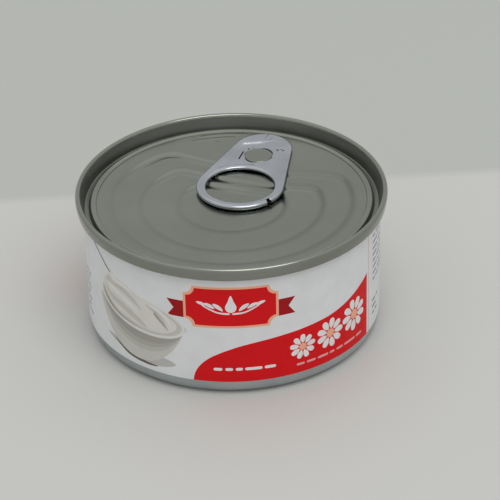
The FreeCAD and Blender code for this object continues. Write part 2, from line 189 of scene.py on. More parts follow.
# Each step's radius, how far back its bow lies, the radius of its lobes, and how far in front
# of the can's middle it is centred. The bow is nearly straight.
STEPS = ((30.2, 17.2, 7.0, 1.0), (22.9, 12.1, 5.0, 2.3), (13.7, 8.6, 3.5, 2.3))
STEP_TURN = math.radians(18)
STEP_DROP = 0.15
BOW = 80.0
# Behind, from the first of these shares of its radius to the second, a step grows wider and
# gets a shallow gutter along its foot.
BEHIND_FROM, BEHIND_TO = -0.15, 0.45
STEP_WIDE, STEP_WIDER_BEHIND = 0.9, 0.6
GUTTER, GUTTER_WIDE = 0.26, 2.2
# Painted shade lies a little inside each step's outline, strongest in front and at the right.
SHADE_IN, SHADE_WIDE = 0.6, 0.7
SHADE_ROUND, SHADE_FRONT, SHADE_RIGHT = 0.15, 0.8, 0.6
# Stretch lines: how far out, where they start and end in degrees, and how tall they are.
RIDGES = ((28.2, 92, 101, 0.09), (30.2, 86, 110, 0.11), (31.9, 82, 104, 0.12))
RIDGE_WIDE, RIDGE_FADE = 0.34, 3


def smooth(low, high, value):
    """0 below low, 1 above high, and an even rise between them."""
    part = min(max((value - low) / (high - low), 0.0), 1.0)
    return part * part * (3 - 2 * part)


def inside_step(x, y, radius, back, lobe):
    """How far a point lies inside a step's outline, less than 0 outside."""
    across = abs(x)
    bow_y = back + BOW
    corner_y = ((radius - lobe) ** 2 - (BOW + lobe) ** 2 + bow_y ** 2) / (2 * bow_y)
    corner_x = math.sqrt((radius - lobe) ** 2 - corner_y ** 2)
    from_middle = math.hypot(across, y) - (radius - lobe)
    into_bow = BOW + lobe - math.hypot(across, y - bow_y)
    off_x, off_y = across - corner_x, y - corner_y
    past_round = off_x * -corner_y + off_y * corner_x > 0
    past_bow = off_x * (bow_y - corner_y) + off_y * corner_x > 0
    if past_round and past_bow:
        return lobe - math.hypot(off_x, off_y)
    return lobe - max(from_middle, into_bow)


def turned(x, y):
    """A point of the panel seen along the tab, with the rivet behind the middle."""
    sine, cosine = math.sin(STEP_TURN), math.cos(STEP_TURN)
    return (x * cosine - y * sine, x * sine + y * cosine)


def panel_level(x, y):
    """Height of the pressed middle above the table."""
    level = LAND
    for radius, back, lobe, forward in STEPS:
        turned_x, turned_y = turned(x, y + forward)
        depth = inside_step(turned_x, turned_y, radius, back, lobe)
        behind = smooth(BEHIND_FROM * radius, BEHIND_TO * radius, turned_y)
        width = STEP_WIDE + STEP_WIDER_BEHIND * behind
        down = smooth(0, width, depth)
        level -= STEP_DROP * down
        level -= GUTTER * behind * down * (1 - smooth(width, width + GUTTER_WIDE, depth))
    return level


def painted_step_shade(x, y):
    """How much painted shade darkens the lacquer at a point, 0 to 1, along each step."""
    mark = 0.0
    for radius, back, lobe, forward in STEPS:
        depth = inside_step(*turned(x, y + forward), radius, back, lobe)
        mark = max(mark, math.exp(-((depth - SHADE_IN) / SHADE_WIDE) ** 2))
    reach = max(math.hypot(x, y), 1.0)
    front, right = max(-y / reach, 0), max(x / reach, 0)
    return mark * (SHADE_ROUND + SHADE_FRONT * front ** 2 + SHADE_RIGHT * right ** 2)


def ridge_level(x, y):
    """Short stretch lines that the press leaves beside the nose of the tab."""
    reach = math.hypot(x, y)
    bearing = math.degrees(math.atan2(y, x))
    rise = 0.0
    for ridge, start, end, tall in RIDGES:
        along = smooth(start, start + RIDGE_FADE, bearing)
        along *= 1 - smooth(end - RIDGE_FADE, end, bearing)
        rise += tall * along * math.exp(-((reach - ridge) / RIDGE_WIDE) ** 2)
    return rise


# From the seam's underside out, over its top and down the drawn wall inside, then through the
# groove at its foot and over the ring round the panel to the score.
RIM = [(37.02, 33.72), (37.4, 33.56), (37.66, 33.46), (37.78, 33.45), (37.85, 33.52),
       (37.88, 33.7), (37.97, 34.2), (38.06, 34.8), (38.1, 35.3), (38.1, 35.75), (38.07, 35.97),
       (37.99, 36.17), (37.87, 36.33), (37.72, 36.44), (37.56, 36.49), (37.42, 36.5),
       (37.28, 36.48), (37.13, 36.41), (37.0, 36.29), (36.91, 36.12), (36.83, 35.8),
       (36.77, 35.5), (36.65, 35.0), (36.53, 34.5), (36.42, 34.0), (36.3, 33.5), (36.18, 33.0),
       (36.1, 32.66), (36.05, 32.56), (35.97, 32.47), (35.87, 32.42), (35.75, 32.4),
       (35.6, 32.4), (35.12, 32.4), (34.97, 32.42), (34.87, 32.47), (34.79, 32.57),
       (34.72, 32.75), (34.65, 33.0), (34.6, 33.2), (34.56, 33.35), (34.5, 33.47), (34.4, 33.56),
       (34.27, 33.6), (34.05, 33.6), (33.92, 33.58), (33.8, 33.52), (33.68, 33.44),
       (33.55, 33.41), (33.42, 33.4), (33.33, 33.38), (33.26, 33.33), (33.2, 33.31),
       (33.14, 33.33), (33.07, 33.38)]

lid_directions = directions_round(LID_AROUND)
rows = spun(RIM, lid_directions)
for i in range(PANEL_ROWS, 0, -1):
    reach = LAND_EDGE * i / PANEL_ROWS
    row = [(reach * c, reach * s) for c, s in lid_directions]
    rows.append([(x, y, panel_level(x, y) + ridge_level(x, y)) for x, y in row])
rows += spun([(0.01, panel_level(0, 0))], lid_directions)
lid = ring_mesh("lid_pressed", rows)
step_shade_values = lid.data.attributes.new("painted_step_shade", "FLOAT", "POINT")
for i, vertex in enumerate(lid.data.vertices):
    x, y = vertex.co.x / MM, vertex.co.y / MM
    step_shade_values.data[i].value = painted_step_shade(x, y) if math.hypot(x, y) < LAND_EDGE else 0.0

lacquer, nodes, links, shader = new_metal("lacquered_steel", printed(142, 145, 137), 0.3)
vary_colour(nodes, links, shader, grain(nodes, links, 45, 5.0),
            printed(137, 140, 132), printed(146, 149, 141))
# Along the steps the lacquer's colour is mixed towards a darker one: painted shade.
where_step_shaded = nodes.new("ShaderNodeAttribute")
where_step_shaded.attribute_name = "painted_step_shade"
darken = nodes.new("ShaderNodeMix")
darken.data_type = "RGBA"
# A mix node's colour sockets share their names with its other sockets, so they go by number.
MIX_FACTOR, MIX_FIRST, MIX_SECOND, MIX_RESULT = 0, 6, 7, 2
darken.inputs[MIX_SECOND].default_value = (*printed(116, 119, 111), 1)
links.new(shader.inputs["Base Color"].links[0].from_socket, darken.inputs[MIX_FIRST])
links.new(where_step_shaded.outputs["Fac"], darken.inputs[MIX_FACTOR])
links.new(darken.outputs[MIX_RESULT], shader.inputs["Base Color"])
vary_roughness(nodes, links, shader, grain(nodes, links, 260), 0.16, 0.22)
raise_surface(nodes, links, shader, grain(nodes, links, 1500, 2.0), 0.000002)
lid.data.materials.append(lacquer)

# The drawn wall and the groove at its foot are duller than the pressed middle, and their
# colour is darker, which is painted shade.
DULL_FROM, DULL_TO = 34.6 * MM, 36.85 * MM
duller_shaded_lacquer, nodes, links, shader = new_metal("lacquered_wall_shaded", printed(130, 133, 126), 0.4)
vary_colour(nodes, links, shader, grain(nodes, links, 60, 4.0),
            printed(123, 126, 119), printed(130, 133, 126))
vary_roughness(nodes, links, shader, grain(nodes, links, 260), 0.36, 0.42)
raise_surface(nodes, links, shader, grain(nodes, links, 1500, 2.0), 0.000002)
lid.data.materials.append(duller_shaded_lacquer)
for face in lid.data.polygons:
    if DULL_FROM < math.hypot(face.center.x, face.center.y) < DULL_TO:
        face.material_index = 1
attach(lid, "root")
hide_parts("lid")

# ---- rivet ----
# A hollow button drawn up out of the panel through the tab and hammered flat over it, which is
# all that holds the tab. Its head lies in a round seat a little below the tab's top.
RIVET_TURN = math.radians(20.2)
RIVET_OUT = 20.4
RIVET_AROUND = 96
rivet_x, rivet_y = RIVET_OUT * math.sin(RIVET_TURN), RIVET_OUT * math.cos(RIVET_TURN)
RIVET = [(1.9, 33.38), (1.9, 34.04), (3.3, 34.05), (3.41, 34.1), (3.45, 34.2), (3.44, 34.3),
         (3.39, 34.38), (3.29, 34.43), (3.15, 34.45), (2.5, 34.45), (1.6, 34.44), (0.8, 34.42),
         (0.01, 34.41)]
rows = spun(RIVET, directions_round(RIVET_AROUND), (rivet_x, rivet_y))
rivet = ring_mesh("rivet_button", rows)
rivet.data.materials.append(lacquer)
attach(rivet, "root")

# ---- ring tab ----
# Pressed from a strip of plain steel whose edges are curled under, so it is round at the ring
# and the sides and a single sheet between. Sizes are from the rivet, with Y to the nose.
TAB_AIM = math.radians(18.6)
TAB_TALL = 1.2
RING_BACK, RING_R, FINGER_R = -15.2, 10.85, 8.5
NOSE_AHEAD, NOSE_R = 3.9, 7.4
BORE_R = 1.95
BELT_POINTS, FINGER_POINTS, BORE_POINTS, SEAT_POINTS = 420, 200, 48, 96
# The curl's width and fullness, and the sag of the ring towards its front.
CURL, FULLNESS = 1.15, 2.3
RING_SAG, SAG_FULL, SAG_NONE = 0.28, -20, -9
# The sheet between the curls is sunk, deeper on the left, and rises again before the nose.
WEB_SIDE, WEB_RING = (1.5, 2.3), (1.0, 2.0)
WEB_DEEP, WEB_DEEPER, WEB_TURN = 0.14, 0.32, (-1.2, 1.2)
RISE_AT, RISE_SLANT, RISE_LEVEL_FROM, RISE_HALF = 7.0, 0.46, 1.5, 0.42
SEAT_R, SEAT_DEEP = 3.7, 0.57
SEAT_RADII = (2.4, 3.0, SEAT_R - 0.1, SEAT_R - 0.03, SEAT_R + 0.03, SEAT_R + 0.14, SEAT_R + 0.3)
# Underneath, the tab is hollow up to the sheet's own thickness, except round the seat.
SHEET = 0.34
HOLLOW_EDGE, HOLLOW_SEAT = (1.6, 2.2), (4.0, 4.4)
NICK_AT, NICK_HALF, NICK_DEPTH, NICK_SOFT = math.radians(-31), 0.62, 0.9, 0.1
SLIT_X, SLIT_LOW, SLIT_HIGH, SLIT_HALF = -4.3, -2.8, 1.2, 0.17
# The slit's twin on the right is pressed shut and only leaves a curved groove.
SHUT_R, SHUT_WIDE, SHUT_DEEP, SHUT_START, SHUT_END = 4.6, 0.22, 0.07, (-36, -28), (10, 18)
# Dents: where the middle is, half their width and length, and how deep they are. The stamped
# ones are sharp, and their middles get a near-black finish as painted shade.
STAMPED = ((-3.5, 3.0, 0.2, 0.34, 0.3), (-2.6, 3.75, 0.45, 0.17, 0.26),
           (3.85, 3.8, 0.18, 0.4, 0.3), (4.6, 4.3, 0.45, 0.17, 0.28),
           (5.35, 3.9, 0.17, 0.36, 0.25))
DENTS = ((-0.9, 9.6, 0.22, 1.3, 0.27), (0.5, 9.2, 0.2, 0.9, 0.22), (-0.1, 8.2, 0.5, 0.3, 0.12),
         *STAMPED, (5.7, 0.2, 0.3, 1.3, 0.12))
# The mesh's own measures: rows of points down the curl, the spacing of points elsewhere, how
# far those stay from an edge, and the cells that keep two points from falling together.
CURL_ROWS = (0.02, 0.06, 0.13, 0.22, 0.34, 0.48, 0.64, 0.82)
SPACING, ACROSS, ALONG = 0.3, range(-36, 37), range(-90, 40)
CLEAR_EDGE, CLEAR_BORE, CLEAR_SEAT, CLEAR_SLIT = 0.95, 2.0, 0.4, 0.1
CELL_SHIFT = 0.0033
# Triangles within a hair of an edge are left out, and at an edge both faces share a point.
HAIR, AT_EDGE = 0.001, 1e-4
belt_turn = math.asin((RING_R - NOSE_R) / (NOSE_AHEAD - RING_BACK))


def nick_into(angle):
    """How far the nick is cut into the ring's curl at an angle round the ring's middle."""
    off = abs((angle - NICK_AT + math.pi) % math.tau - math.pi) * RING_R
    return NICK_DEPTH * (1 - smooth(NICK_HALF - NICK_SOFT, NICK_HALF + NICK_SOFT, off))


def belt_outline(inset, nicked=False):
    """The tab's outline moved in by an inset: ring, right side, nose and left side."""
    ring, nose = RING_R - inset, NOSE_R - inset
    straight = math.hypot(NOSE_AHEAD - RING_BACK, RING_R - NOSE_R) * math.cos(belt_turn)
    ring_run, nose_run = ring * (math.pi + 2 * belt_turn), nose * (math.pi - 2 * belt_turn)
    whole = ring_run + straight + nose_run + straight
    points = []
    for i in range(BELT_POINTS):
        along = whole * i / BELT_POINTS
        if along < ring_run:
            angle = math.pi - belt_turn + along / ring
            reach = ring - nick_into(angle) if nicked else ring
            points.append((reach * math.cos(angle), RING_BACK + reach * math.sin(angle)))
            continue
        along -= ring_run
        side = Vector((math.cos(belt_turn), math.sin(belt_turn)))
        if along < straight:
            spot = Vector((0, RING_BACK)) + side * ring + Vector((-side.y, side.x)) * along
            points.append(tuple(spot))
            continue
        along -= straight
        if along < nose_run:
            angle = belt_turn + along / nose
            points.append((nose * math.cos(angle), NOSE_AHEAD + nose * math.sin(angle)))
            continue
        along -= nose_run
        side.x = -side.x
        spot = Vector((0, NOSE_AHEAD)) + side * nose + Vector((-side.y, -abs(side.x))) * along
        points.append(tuple(spot))
    return points


def circle_outline(middle_y, radius, count):
    """A circle whose middle lies on the tab's own middle line."""
    turns = [math.tau * i / count for i in range(count)]
    return [(radius * math.cos(turn), middle_y + radius * math.sin(turn)) for turn in turns]


def edge_distance(x, y):
    """How far a point of the tab is from its outer edge and from the finger hole."""
    along, across = y - RING_BACK, abs(x)
    sine, cosine = math.sin(belt_turn), math.cos(belt_turn)
    run = along * cosine - across * sine
    if run < 0:
        outer = RING_R - math.hypot(across, along)
    elif run > (NOSE_AHEAD - RING_BACK) * cosine:
        outer = NOSE_R - math.hypot(across, y - NOSE_AHEAD)
    else:
        outer = RING_R - (across * cosine + along * sine)
    return outer, math.hypot(x, along) - FINGER_R


def tab_levels(x, y):
    """Heights of the tab's upper and lower face at a point, counted from the land."""
    outer, finger = edge_distance(x, y)
    edge = min(max(min(outer, finger) / CURL, 0), 1)
    roll = (1 - (1 - edge) ** FULLNESS) ** (1 / FULLNESS)
    sag = RING_SAG * (1 - smooth(SAG_FULL, SAG_NONE, y))
    upper = TAB_TALL - (TAB_TALL + sag) / 2 * (1 - roll)
    lower = (TAB_TALL + sag) / 2 * (1 - roll) - sag
    web = smooth(*WEB_SIDE, outer) * smooth(*WEB_RING, finger)
    rise_at = RISE_AT + RISE_SLANT * min(x, RISE_LEVEL_FROM)
    sunk = WEB_DEEP + WEB_DEEPER * (1 - smooth(*WEB_TURN, x))
    upper -= sunk * web * (1 - smooth(rise_at - RISE_HALF, rise_at + RISE_HALF, y))
    for middle_x, middle_y, wide, long, deep in DENTS:
        off_x, off_y = (x - middle_x) / wide, (y - middle_y) / long
        upper -= deep * math.exp(-off_x ** 2 - off_y ** 2)
    reach, bearing = math.hypot(x, y), math.degrees(math.atan2(y, x))
    groove = SHUT_DEEP * math.exp(-((reach - SHUT_R) / SHUT_WIDE) ** 2)
    upper -= groove * smooth(*SHUT_START, bearing) * (1 - smooth(*SHUT_END, bearing))
    hollow = smooth(*HOLLOW_EDGE, outer) * smooth(*HOLLOW_EDGE, finger)
    hollow *= smooth(*HOLLOW_SEAT, reach)
    lower += (upper - SHEET - lower) * hollow
    if reach < SEAT_R:
        upper = TAB_TALL - SEAT_DEEP
    return upper, lower


def joined(outlines):
    """The points of closed outlines, and each outline's borders as pairs of point numbers."""
    points, borders = [], []
    for outline in outlines:
        first = len(points)
        points += outline
        borders += [(first + i, first + (i + 1) % len(outline)) for i in range(len(outline))]
    return points, borders


def middle_of(flat, face):
    """The middle of one triangle of a flat sheet."""
    return sum((flat[i] for i in face), Vector((0, 0))) / 3


def free_points():
    """Points spread over the tab, close together on its curls, round its seat and in dents."""
    points = []
    for inset in CURL_ROWS:
        points += belt_outline(inset)
        points += circle_outline(RING_BACK, FINGER_R + inset, FINGER_POINTS)
    for radius in SEAT_RADII:
        points += circle_outline(0, radius, SEAT_POINTS)
    for i in ACROSS:
        for j in ALONG:
            x, y = i * SPACING + (j % 2) * SPACING / 2, j * SPACING
            reach = math.hypot(x, y)
            if min(edge_distance(x, y)) < CLEAR_EDGE or reach < CLEAR_BORE:
                continue
            if abs(reach - SEAT_R) < CLEAR_SEAT:
                continue
            by_slit = SLIT_LOW - CLEAR_SLIT < y < SLIT_HIGH + CLEAR_SLIT
            if abs(x - SLIT_X) < SLIT_HALF + CLEAR_SLIT and by_slit:
                continue
            points.append((x, y))
    for middle_x, middle_y, wide, long, _ in DENTS:
        points += [(middle_x + wide * i / 4, middle_y + long * j / 4)
                   for i in range(-8, 9) for j in range(-8, 9)]
    return points


def cell_of(point):
    """The small cell that a point falls in; no two free points share one."""
    return tuple(round(value + CELL_SHIFT, 2) for value in point)


def tab_triangles():
    """The tab seen flat, as points and triangles, with its openings and its nick left out."""
    slit = [(SLIT_X - SLIT_HALF, SLIT_LOW), (SLIT_X + SLIT_HALF, SLIT_LOW),
            (SLIT_X + SLIT_HALF, SLIT_HIGH), (SLIT_X - SLIT_HALF, SLIT_HIGH)]
    points, borders = joined([belt_outline(0, nicked=True),
                              circle_outline(RING_BACK, FINGER_R, FINGER_POINTS),
                              circle_outline(0, BORE_R, BORE_POINTS), slit])
    taken = {cell_of(point) for point in points}
    for point in free_points():
        if cell_of(point) not in taken:
            taken.add(cell_of(point))
            points.append(point)
    spots = [Vector(point) for point in points]
    flat, _, faces, _, _, _ = delaunay_2d_cdt(spots, borders, [], 0, 1e-6)
    kept = []
    for face in faces:
        middle = middle_of(flat, face)
        outer, finger = edge_distance(*middle)
        in_slit = abs(middle.x - SLIT_X) < SLIT_HALF and SLIT_LOW < middle.y < SLIT_HIGH
        along = middle.y - RING_BACK
        in_nick = along < 0 and outer < nick_into(math.atan2(along, middle.x))
        in_bore = middle.length <= BORE_R
        if min(outer, finger) > HAIR and not (in_slit or in_nick or in_bore):
            kept.append(face)
    return flat, kept


def in_shaded_dent(spot):
    """True if a point lies in the middle of a stamped dent, which is painted dark as shade."""
    return any(((spot.x - middle_x) / wide) ** 2 + ((spot.y - middle_y) / long) ** 2 < 1.0
               for middle_x, middle_y, wide, long, _ in STAMPED)


def tab_sheet():
    """The tab as one mesh: both faces over the same triangles, joined round every opening."""
    flat, kept = tab_triangles()
    sine, cosine = math.sin(TAB_AIM), math.cos(TAB_AIM)
    upper_at, lower_at, mesh_points = {}, {}, []
    for i in sorted({i for face in kept for i in face}):
        x, y = flat[i]
        upper, lower = tab_levels(x, y)
        out_x, out_y = rivet_x + x * cosine + y * sine, rivet_y - x * sine + y * cosine
        upper_at[i] = lower_at[i] = len(mesh_points)
        mesh_points.append((out_x * MM, out_y * MM, (LAND + upper) * MM))
        if min(edge_distance(x, y)) >= AT_EDGE:
            lower_at[i] = len(mesh_points)
            mesh_points.append((out_x * MM, out_y * MM, (LAND + lower) * MM))
    mesh_faces = [tuple(upper_at[i] for i in face) for face in kept]
    dark = {i for i, face in enumerate(kept) if in_shaded_dent(middle_of(flat, face))}
    mesh_faces += [tuple(lower_at[i] for i in reversed(face)) for face in kept]
    sides = dict.fromkeys(side for face in kept for side in zip(face, face[1:] + face[:1]))
    for a, b in sides:
        if (b, a) not in sides and (upper_at[a] != lower_at[a] or upper_at[b] != lower_at[b]):
            corners = [upper_at[b], upper_at[a], lower_at[a], lower_at[b]]
            # Only the nick is cut through the ring's curl; its cut walls are painted dark as
            # shade.
            if flat[a].y < RING_BACK:
                dark.add(len(mesh_faces))
            mesh_faces.append(tuple(dict.fromkeys(corners)))
    mesh = bpy.data.meshes.new("ring_tab_pressed")
    mesh.from_pydata(mesh_points, [], mesh_faces)
    piece = placed(mesh)
    for face in mesh.polygons:
        face.material_index = int(face.index in dark)
    mesh.validate()
    mesh.set_sharp_from_angle(angle=math.radians(50))
    return piece


tab = tab_sheet()
plain_steel, nodes, links, shader = new_metal("plain_tab_steel", printed(172, 176, 177), 0.3)
vary_colour(nodes, links, shader, grain(nodes, links, 120, 4.0),
            printed(168, 170, 176), printed(185, 187, 194))
vary_roughness(nodes, links, shader, grain(nodes, links, 420), 0.14, 0.2)
raise_surface(nodes, links, shader, grain(nodes, links, 500, 2.0), 0.00001)
tab.data.materials.append(plain_steel)
# A near-black finish for the nick's cut walls and the stamped dents' middles: painted shade.
painted_curl_shade, nodes, links, shader = new_metal("painted_curl_shade", printed(52, 53, 54), 0.6)
vary_roughness(nodes, links, shader, grain(nodes, links, 420), 0.5, 0.7)
tab.data.materials.append(painted_curl_shade)
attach(tab, "root")
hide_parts("ring_tab")

# ---- paper label ----
# One strip of coated paper, printed before it is wrapped round the wall and glued over its own
# start behind. The print is plain fields of colour and simple shapes.
LABEL_R = 36.35
LABEL_LOW, LABEL_HIGH = 4.0, 32.45
PAPER = 0.15
LAP_HALF = math.radians(7)
# Just before the lap, between these two turns, the strip climbs by its own thickness.
LAP_CLIMB, LAP_OVER = math.radians(1.6), math.radians(0.1)
STRIP_HALF = LABEL_R * (math.pi + LAP_HALF)
COLUMNS, ROWS = 200, 10
# The print's shapes, each with its ink. Places on the strip are millimetres to the right of
# the middle of its front, and up from the table.
print_shapes = []


def flowing(points, closed=True, steps=8):
    """A smooth line through points, with a number of steps from each to the next."""
    spots = [Vector(p) for p in points]
    count = len(spots)
    line = []
    for i in range(count if closed else count - 1):
        if closed:
            a, b, c, d = (spots[(i + k) % count] for k in (-1, 0, 1, 2))
        else:
            a, b, c, d = (spots[min(max(i + k, 0), count - 1)] for k in (-1, 0, 1, 2))
        for step in range(steps):
            t = step / steps
            line.append(0.5 * (2 * b + (c - a) * t + (2 * a - 5 * b + 4 * c - d) * t ** 2
                               + (3 * b - a - 3 * c + d) * t ** 3))
    if not closed:
        line.append(spots[-1])
    return [tuple(p) for p in line]


def moved(outline, along=0.0, up=0.0, turn=0.0, size=1.0):
    """An outline scaled and turned about zero, in degrees, then moved."""
    sine, cosine = math.sin(math.radians(turn)), math.cos(math.radians(turn))
    return [(along + size * (x * cosine - z * sine), up + size * (x * sine + z * cosine))
            for x, z in outline]


def oval(wide, tall, count=48):
    """An oval about zero, given half its width and half its height."""
    return [(wide * c, tall * s) for c, s in directions_round(count)]


def bar(start, end, width):
    """A short stroke with round ends."""
    a, b = Vector(start), Vector(end)
    turn = math.atan2(b.y - a.y, b.x - a.x)
    outline = []
    for middle, first in ((b, -90), (a, 90)):
        for i in range(7):
            angle = turn + math.radians(first + 30 * i)
            outline.append((middle.x + width / 2 * math.cos(angle),
                            middle.y + width / 2 * math.sin(angle)))
    return outline


def plaque_outline(wide, tall, notch, count=10):
    """A board whose four corners are scooped in."""
    outline = []
    for sign_x, sign_z, first in ((1, 1, 270), (-1, 1, 360), (-1, -1, 90), (1, -1, 180)):
        turns = [math.radians(first - 90 * i / count) for i in range(count + 1)]
        outline += [(sign_x * wide + notch * math.cos(turn),
                     sign_z * tall + notch * math.sin(turn)) for turn in turns]
    return outline


def lay(ink, outline):
    """Adds a shape to the print; later shapes cover earlier ones."""
    print_shapes.append((ink, outline))


def hill(points, foot=3.0):
    """A red field under a flowing line, with straight sides."""
    line = flowing(points, closed=False)
    lay("red", [(points[0][0], foot)] + line + [(points[-1][0], foot)])


# The red field rises to the right, with three white daisies and rows of strokes on it.
hill([(-10.4, 3.9), (-9.9, 6.2), (-8.5, 8.6), (-6.0, 10.9), (-2.0, 13.0), (3.0, 14.6),
      (10.0, 15.7), (18.0, 16.5), (25.0, 17.2), (31.0, 18.5), (35.6, 20.0), (39.4, 21.5)])


def daisy(along, up, size, turn, petals=9):
    """White petals round a pale peach eye."""
    petal = flowing([(0.32, 0), (0.62, 0.2), (0.95, 0.17), (1.04, 0), (0.95, -0.17),
                     (0.62, -0.2)], steps=4)
    for i in range(petals):
        lay("white", moved(petal, along, up, turn + 360 * i / petals, size))
    lay("peach", moved(oval(0.3, 0.3, 20), along, up, 0, size))


daisy(16.6, 11.2, 3.3, 10)
daisy(24.6, 12.0, 3.9, 0)
daisy(33.2, 13.2, 4.3, 24)


def strokes(ink, start, end, up, thick, seed):
    """A row of strokes of uneven length, as small print reads from afar."""
    dice = random.Random(seed)
    along = start
    while along < end - 0.6:
        length = min(dice.uniform(1.5, 4.2), end - along)
        lay(ink, bar((along, up), (along + length - thick, up), thick))
        along += length + dice.uniform(0.45, 0.7)


# How thick the strokes of small print are.
SMALL = 0.62
strokes("pink", 15.2, 36.8, 6.4, SMALL, 3)
strokes("white", -5.0, 10.0, 7.6, 0.8, 8)


def emblem(along, up, size):
    """The mark of no maker: a sprig on a scooped board with a peach edge, over a ribbon."""
    for side in (-1, 1):
        tail = [(side * 8, -2.3), (side * 15.6, -2.3), (side * 13.9, 0), (side * 15.6, 2.3),
                (side * 8, 2.3)]
        lay("dark_red", moved(tail, along, up - 1.2 * size, 0, size))
    lay("peach", moved(plaque_outline(11.4, 5.7, 2.2), along, up, 0, size))
    lay("red", moved(plaque_outline(10.8, 5.1, 2.15), along, up, 0, size))
    leaf = flowing([(0, 0), (0.9, 0.55), (2.1, 0.6), (3.1, 0.1), (2.2, -0.35), (1.0, -0.3)],
                   steps=5)
    for side in (-1, 1):
        one_side = [(side * x, z) for x, z in leaf]
        for i, (out, rise, tilt) in enumerate(((1.9, -0.9, 38), (3.9, -0.3, 30), (5.9, 0.5, 20))):
            lay("white", moved(one_side, along + size * side * out, up + size * rise,
                               side * tilt, size * (1 - 0.1 * i)))
        stem = flowing([(side * 0.6, -1.9), (side * 3.4, -1.5), (side * 6.6, 0.2),
                        (side * 6.5, 0.5), (side * 3.3, -1.1), (side * 0.6, -1.45)], steps=4)
        lay("white", moved(stem, along, up, 0, size))
    drop = flowing([(0, 3.4), (0.75, 1.6), (1.35, 0.2), (0.95, -0.95), (0, -1.35),
                    (-0.95, -0.95), (-1.35, 0.2), (-0.75, 1.6)], steps=5)
    lay("white", moved(drop, along, up, 0, size))


emblem(-0.9, 25.0, 1.0)


def bowl(along, up, size):
    """A bowl of whipped cream, drawn in a few tones."""
    def part(ink, points):
        lay(ink, moved(flowing(points), along, up, 0, size))

    def level_with_rim(ink, outline, rise=1.9):
        lay(ink, moved(outline, along - 0.1 * size, up + rise * size, -7, size))

    part("faint_shadow", [(-11, -8.4), (-3, -11.0), (5, -11.6), (10.5, -10.2), (8, -8.8),
                          (0, -8.6)])
    part("deep_shadow", [(-8.2, -8.8), (-3.5, -11.3), (2.5, -12.0), (5.8, -11.6), (2.0, -11.2),
                         (-3.0, -10.5)])
    part("bowl_side", [(-13.3, 2.2), (-12.6, -2.0), (-9.8, -6.6), (-5.0, -10.0), (0.8, -11.2),
                       (6.0, -9.6), (10.2, -5.6), (12.6, -1.2), (13.2, 1.4), (6.0, 3.0),
                       (-6.0, 4.4)])
    # Three bands of shade hang from the rim, each darker and less deep than the one before.
    for ink, fall in (("bowl_mid", 5.6), ("bowl_shade", 4.0), ("bowl_deep", 2.4)):
        under = []
        for i in range(31):
            turn = math.pi * i / 30
            drop = fall * math.sin(turn) ** 1.3 * (0.85 + 0.15 * math.cos(turn))
            under.append((13.1 * math.cos(turn), -5.0 * math.sin(turn) - drop))
        level_with_rim(ink, under)
    level_with_rim("bowl_rim", oval(13.5, 5.0))
    level_with_rim("cream_shade", oval(12.7, 4.3), rise=2.0)
    part("cream", [(-12.2, 3.4), (-11.8, 6.6), (-9.9, 8.6), (-8.7, 10.4), (-7.2, 8.9), (-3.4, 8.4),
                   (0.4, 6.8), (4.4, 6.0), (8.4, 3.8), (11.2, 1.4), (9.4, -1.0), (4.0, -1.9),
                   (-3.0, -0.8), (-9.0, 1.0)])
    part("cream_shade", [(-9.8, 8.2), (-7.4, 7.2), (-3.8, 7.0), (-0.4, 5.2), (1.6, 3.0),
                         (-0.6, 4.2), (-4.2, 5.7), (-8.0, 6.2), (-10.6, 6.6)])
    part("cream_shade", [(-11.4, 4.6), (-7.8, 3.4), (-3.2, 2.4), (1.4, 0.2), (3.0, -1.6),
                         (0.0, -0.6), (-4.6, 1.0), (-9.2, 2.3)])
    part("cream_shade", [(2.8, 5.0), (6.6, 2.6), (8.8, -0.4), (7.6, 2.6), (5.0, 4.9)])
    part("cream_deep", [(-12.5, 4.4), (-11.4, 1.5), (-8.4, -0.5), (-4.2, -1.7), (1.2, -2.3),
                        (-4.0, -1.25), (-7.8, 0.2), (-10.6, 2.3)])
    part("cream_deep", [(5.6, 3.6), (8.3, 0.6), (8.9, -0.5), (7.4, 0.9), (5.3, 2.9)])
    part("cream_light", [(-8.8, 9.6), (-7.2, 8.3), (-3.8, 7.9), (-1.2, 6.8), (-3.6, 7.3),
                         (-7.4, 7.8)])
    part("cream_light", [(-10.6, 5.9), (-6.4, 5.3), (-2.0, 3.8), (0.8, 1.8), (-1.8, 2.9),
                         (-6.0, 4.2)])
    part("cream_light", [(3.6, 5.2), (7.2, 3.6), (9.6, 1.2), (8.8, 3.1), (6.2, 4.8)])
    part("spoon", [(-9.3, 9.7), (-13.6, 12.6), (-17.8, 15.3), (-18.2, 14.9), (-13.9, 12.2),
                   (-9.6, 9.3)])


bowl(-25.4, 17.2, 1.0)


def straight_sided(ink, left, right, low, high):
    """A plain rectangle of ink."""
    lay(ink, [(left, low), (right, low), (right, high), (left, high)])


# The line where the front ends, and right of it a block of small print and three short lines.
straight_sided("pink", 40.2, 40.55, 3.0, 34.0)
for row in range(9):
    strokes("grey", 43.6, 60.5 - 2.5 * (row % 3), 31.2 - 1.75 * row, SMALL, 20 + row)
strokes("grey", 43.4, 48.2, 11.2, 0.7, 41)
strokes("grey", 43.4, 47.4, 9.4, 0.7, 42)
strokes("grey", 43.4, 48.6, 7.6, 0.7, 43)

